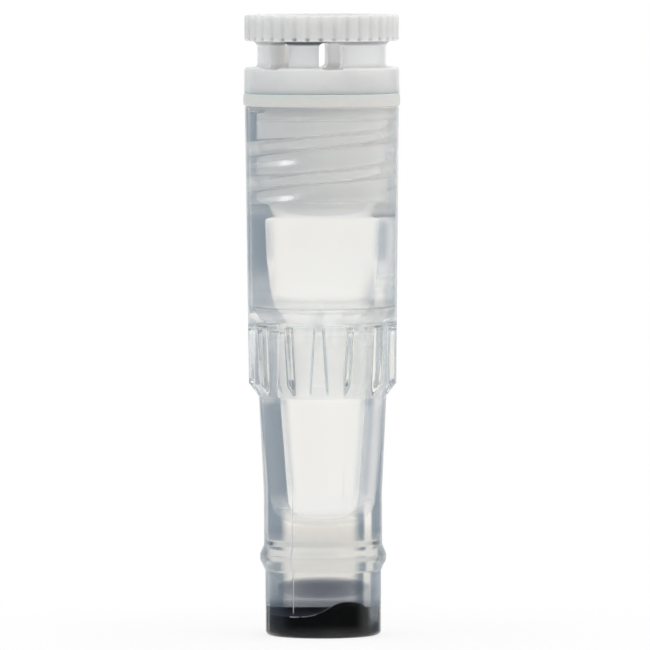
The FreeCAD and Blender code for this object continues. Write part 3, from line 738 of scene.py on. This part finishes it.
def makeCap():
    # One profile turned round the axis: the plug with its thread, the guide, the flange, the neck,
    # the head and the socket. A knurl's groove is a rounded V that shallows away from its middle.
    c = cap
    flangeFoot, flangeTop = sealHigh.z, sealHigh.z + c["flangeHeight"]
    headFoot = flangeTop + c["neckHeight"]
    plugTip, crown, flange = capLow.z, capHigh.z, capHigh.x
    guideFoot = tubeTop - c["guideHeight"]
    socketFloor = plugTip + c["socketFloor"]
    path = roundedPath([
        (0, plugTip, 0, 0.5), (c["tipFlat"], plugTip, 0.12, 0.1),
        (c["tipRadius"], plugTip + c["tipBevel"], 0.2, 0.1),
        (c["rootRadius"], plugTip + c["tipBevel"] + c["rootRise"], 0.1, 0.055),
        (c["rootRadius"], guideFoot - c["guideRadius"] + c["rootRadius"], 0.05, 0.08),
        (c["guideRadius"], guideFoot, 0.05, 0.2), (c["guideRadius"], flangeFoot, 0.0, 0.2),
        (flange, flangeFoot, 0.05, 0.3), (flange, flangeTop, 0.16, 0.2),
        (c["neckRadius"], flangeTop, 0.20, 0.15), (c["neckRadius"], headFoot, 0.35, 0.15),
        (c["headRadius"], headFoot, 0.14, 0.10), (c["headRadius"], crown, 0.16, 0.2),
        (c["socketRadius"] + c["socketBevel"], crown, 0.08, 0.1),
        (c["socketRadius"], crown - c["socketBevel"], 0.10, 0.45),
        (c["socketRadius"], socketFloor, 0.25, 0.3), (0, socketFloor, 0, 0.5)])
    columns = knurl["count"] * knurl["columns"]
    azimuth = radians(knurl["phase"]) + np.linspace(0, 2 * pi, columns, endpoint=False)
    radius = np.broadcast_to(path[:, :1], (len(path), columns)).copy()
    height = path[:, 1:]
    outer = np.arange(len(path)) <= np.argmax(path[:, 1] >= crown - 1e-6)
    threaded = outer & (path[:, 1] > plugTip + c["tipBevel"]) & (path[:, 1] < guideFoot)
    radius[threaded] += threadRidge(azimuth, height[threaded], capThread)
    along = (np.arange(columns) % knurl["columns"]) / knurl["columns"]
    fromGroove = np.minimum(along, 1 - along) * 2 * pi / knurl["count"] * c["headRadius"]
    groove = knurl["depth"] * (1 - easeStep(fromGroove, 0, knurl["half"]))
    headed = outer & (path[:, 1] >= headFoot) & (path[:, 0] > c["neckRadius"] + 0.2)
    # the head's rounded edges already lie inside its radius
    radius[headed] -= np.clip(groove - (c["headRadius"] - radius[headed]), 0, None)
    piece = turned("screwCap", inRound(azimuth, radius, height))
    for way in windows["azimuths"]:
        cutAway(piece, windowBar(way, flangeTop - windows["sink"]))
    piece.data.set_sharp_from_angle(angle=radians(c["sharpAngle"]))
    piece.data.materials.clear()
    piece.data.materials.append(naturalCap(sealLow.z * mm, flangeTop * mm, headFoot * mm))
    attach(piece, "cap")
    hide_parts("screw_cap")
    print("cap made:", len(piece.data.polygons), "faces")


studio = {
    "distance": 550.0, "eyeHeight": 43.0, "aimSide": 0.14, "roll": -0.165, "frameWidth": 36.02,
    "sensorWidth": 36.0, "floorRadius": 1500.0, "paper": 0.9,
    "shadow": 0.78, "shadowReach": (0.004, 0.030),  # how white the paper is there, and as it fades
}
lamps = {
    "softbox": {"place": (260, -220, 420), "side": 260, "power": 0.18, "colour": (1.0, 0.98, 0.95)},
    "leftBox": {"place": (-330, -160, 300), "side": 240, "power": 0.12, "colour": (0.97, 0.98, 1.0)},
}
# colours of the room round the vial, and the angles in degrees from the middle of a panel to where
# it has faded out and to where it is full
room = {
    "white": (1.0, 0.99, 0.965, 1), "gap": (0.28, 0.34, 0.41, 1), "rightPanel": (0.75, 0.77, 0.78, 1),
    "behindCamera": (0.05, 0.055, 0.06, 1), "behindCameraFade": (-0.1, 0.4),
    "top": (1.0, 1.0, 1.0, 1), "below": (0.93, 0.94, 0.95, 1),
    "dimTop": (0.75, 0.78, 0.80, 1), "dimBelow": (0.70, 0.73, 0.76, 1), "dimFade": (-0.1, 0.7),
    "rightPanelEdge": (34, 22), "strip": -38, "stripEdge": (7, 3), "panel": 3, "panelEdge": (32, 21),
    "cornerEdge": (42, 26),
    # sines of the elevations over which the sky goes from low to level, to high and to the top
    "levelTilt": (-0.20, -0.06), "highTilt": (0.06, 0.24), "topTilt": (0.6, 0.95),
}


def makeCamera():
    s = studio
    eye = Vector((s["aimSide"], -s["distance"], s["eyeHeight"])) * mm
    aim = Vector((s["aimSide"], 0, (cadLow.z + cadHigh.z) / 2 / mm)) * mm
    data = bpy.data.cameras.new("camera")
    camera = bpy.data.objects.new("camera", data)
    bpy.context.scene.collection.objects.link(camera)
    data.sensor_width = s["sensorWidth"]
    data.lens = data.sensor_width * (aim - eye).length / mm / s["frameWidth"]
    data.clip_start, data.clip_end = 0.01, 10.0
    camera.location = eye
    look = (aim - eye).to_track_quat("-Z", "Y").to_matrix().to_4x4()
    camera.matrix_world = Matrix.Translation(eye) @ look @ Matrix.Rotation(radians(s["roll"]), 4, "Z")
    bpy.context.scene.camera = camera
    print("camera: lens", round(data.lens, 1))


def makeFloor():
    # Pale paper. The camera sees it near white; near the vial more of the lit paper shows, which keeps
    # the vial's real shadow and adds a painted grey disc of shadow round it. What looks through or
    # glances off the vial sees the studio behind it.
    azimuth = np.linspace(0, 2 * pi, 96, endpoint=False)
    spots = np.vstack([[[0, 0, 0]], inRound(azimuth, studio["floorRadius"], 0.0)])
    first = 1 + np.arange(len(azimuth))
    floor = meshFrom("floor", spots, [np.stack([first * 0, first, np.roll(first, -1)], -1)], smooth=False)
    material, tree = newMaterial("paper")
    sees = tree.add("ShaderNodeLightPath").socket.node
    camera, glossy, through = (Wire(tree, sees.outputs[n]) for n in
                               ("Is Camera Ray", "Is Glossy Ray", "Is Transmission Ray"))
    paper = tree.add("ShaderNodeBsdfDiffuse", {}, {"Color": grey(studio["paper"])})
    white = tree.add("ShaderNodeEmission", {}, {"Color": grey(1.0), "Strength": 1.0})
    clear = tree.add("ShaderNodeBsdfTransparent")
    x, y, z = tree.axes(tree.add("ShaderNodeTexCoord", out=3))
    # near the vial: the real shadow on the lit paper and a painted grey disc of shadow
    bright = across(x, y).ease(*studio["shadowReach"], studio["shadow"], 1.0)
    seen = tree.mixed(camera * bright, paper, white)
    tree.add("ShaderNodeOutputMaterial", {}, {
        "Surface": tree.mixed(glossy.maths("MAXIMUM", through), seen, clear)})
    floor.data.materials.append(material)
    print("floor laid")


def makeWorld():
    # A white panel stands behind the vial, turned a little to the right, a narrow white strip on
    # its left, a paler grey panel on the right, and darker gaps between them. Low down, two corners
    # are white. The sky is dimmer on the left, and the room behind the camera is dim.
    world = bpy.data.worlds.new("studio")
    bpy.context.scene.world = world
    tree = Tree(world)
    x, y, z = tree.axes(tree.add("ShaderNodeTexCoord", out=0))
    flat = (x * x + y * y + 1e-6).maths("SQRT")
    right, ahead = x / flat, y / flat

    def panel(azimuth, edge):
        # the cosine of the angle from the panel's middle, eased between the cosines of its edge
        toward = ahead * cos(radians(azimuth)) + right * sin(radians(azimuth))
        return toward.ease(*(cos(radians(angle)) for angle in edge))

    level = tree.blend(panel(90, room["rightPanelEdge"]), room["gap"], room["rightPanel"])
    level = tree.blend(panel(room["strip"], room["stripEdge"]), level, room["white"])
    level = tree.blend((ahead * -1).ease(*room["behindCameraFade"]), level, room["behindCamera"])
    level = tree.blend(panel(room["panel"], room["panelEdge"]), level, room["white"])
    onLeft = (right * -1 - ahead * 0.3).ease(*room["dimFade"])
    farOff, near = (cos(radians(angle)) for angle in room["cornerEdge"])
    corner = ((ahead - right) * sqrt(0.5)).maths("ABSOLUTE").ease(farOff, near)
    low = tree.blend(corner, tree.blend(onLeft, room["below"], room["dimBelow"]), room["white"])
    high = tree.blend(onLeft, room["top"], room["dimTop"])
    tilt = z / (flat * flat + z * z).maths("SQRT")
    sky = tree.blend(tilt.ease(*room["levelTilt"]), low, level)
    sky = tree.blend(tilt.ease(*room["highTilt"]), sky, high)
    sky = tree.blend(tilt.ease(*room["topTilt"]), sky, room["top"])
    camera = tree.add("ShaderNodeLightPath").socket.node.outputs["Is Camera Ray"]
    shown = tree.blend(Wire(tree, camera), sky, grey(1.0))  # the camera sees plain white
    light = tree.add("ShaderNodeBackground", {}, {"Color": shown, "Strength": 1.0})
    tree.add("ShaderNodeOutputWorld", {}, {"Surface": light})
    print("world made")


def makeLamps():
    # square soft lamps that face the foot of the vial
    for name, values in lamps.items():
        data = bpy.data.lights.new(name, "AREA")
        data.shape, data.size = "SQUARE", values["side"] * mm
        data.energy, data.color = values["power"], values["colour"]
        lamp = bpy.data.objects.new(name, data)
        bpy.context.scene.collection.objects.link(lamp)
        spot = Vector(values["place"]) * mm
        turn = (-spot).to_track_quat("-Z", "Y").to_matrix().to_4x4()
        lamp.matrix_world = Matrix.Translation(spot) @ turn
    print("lamps placed:", len(lamps))


def setPaths():
    # light has to cross many clear walls
    cycles = bpy.context.scene.cycles
    cycles.max_bounces = cycles.transmission_bounces = cycles.transparent_max_bounces = 24
    cycles.diffuse_bounces = 12
    cycles.blur_glossy = 0.0


makeTube()
makeInsert()
makePaintedFootShade()
makeSeal()
makeCap()
makeCamera()
makeFloor()
makeWorld()
makeLamps()
setPaths()
bpy.context.scene.view_settings.view_transform = "Standard"
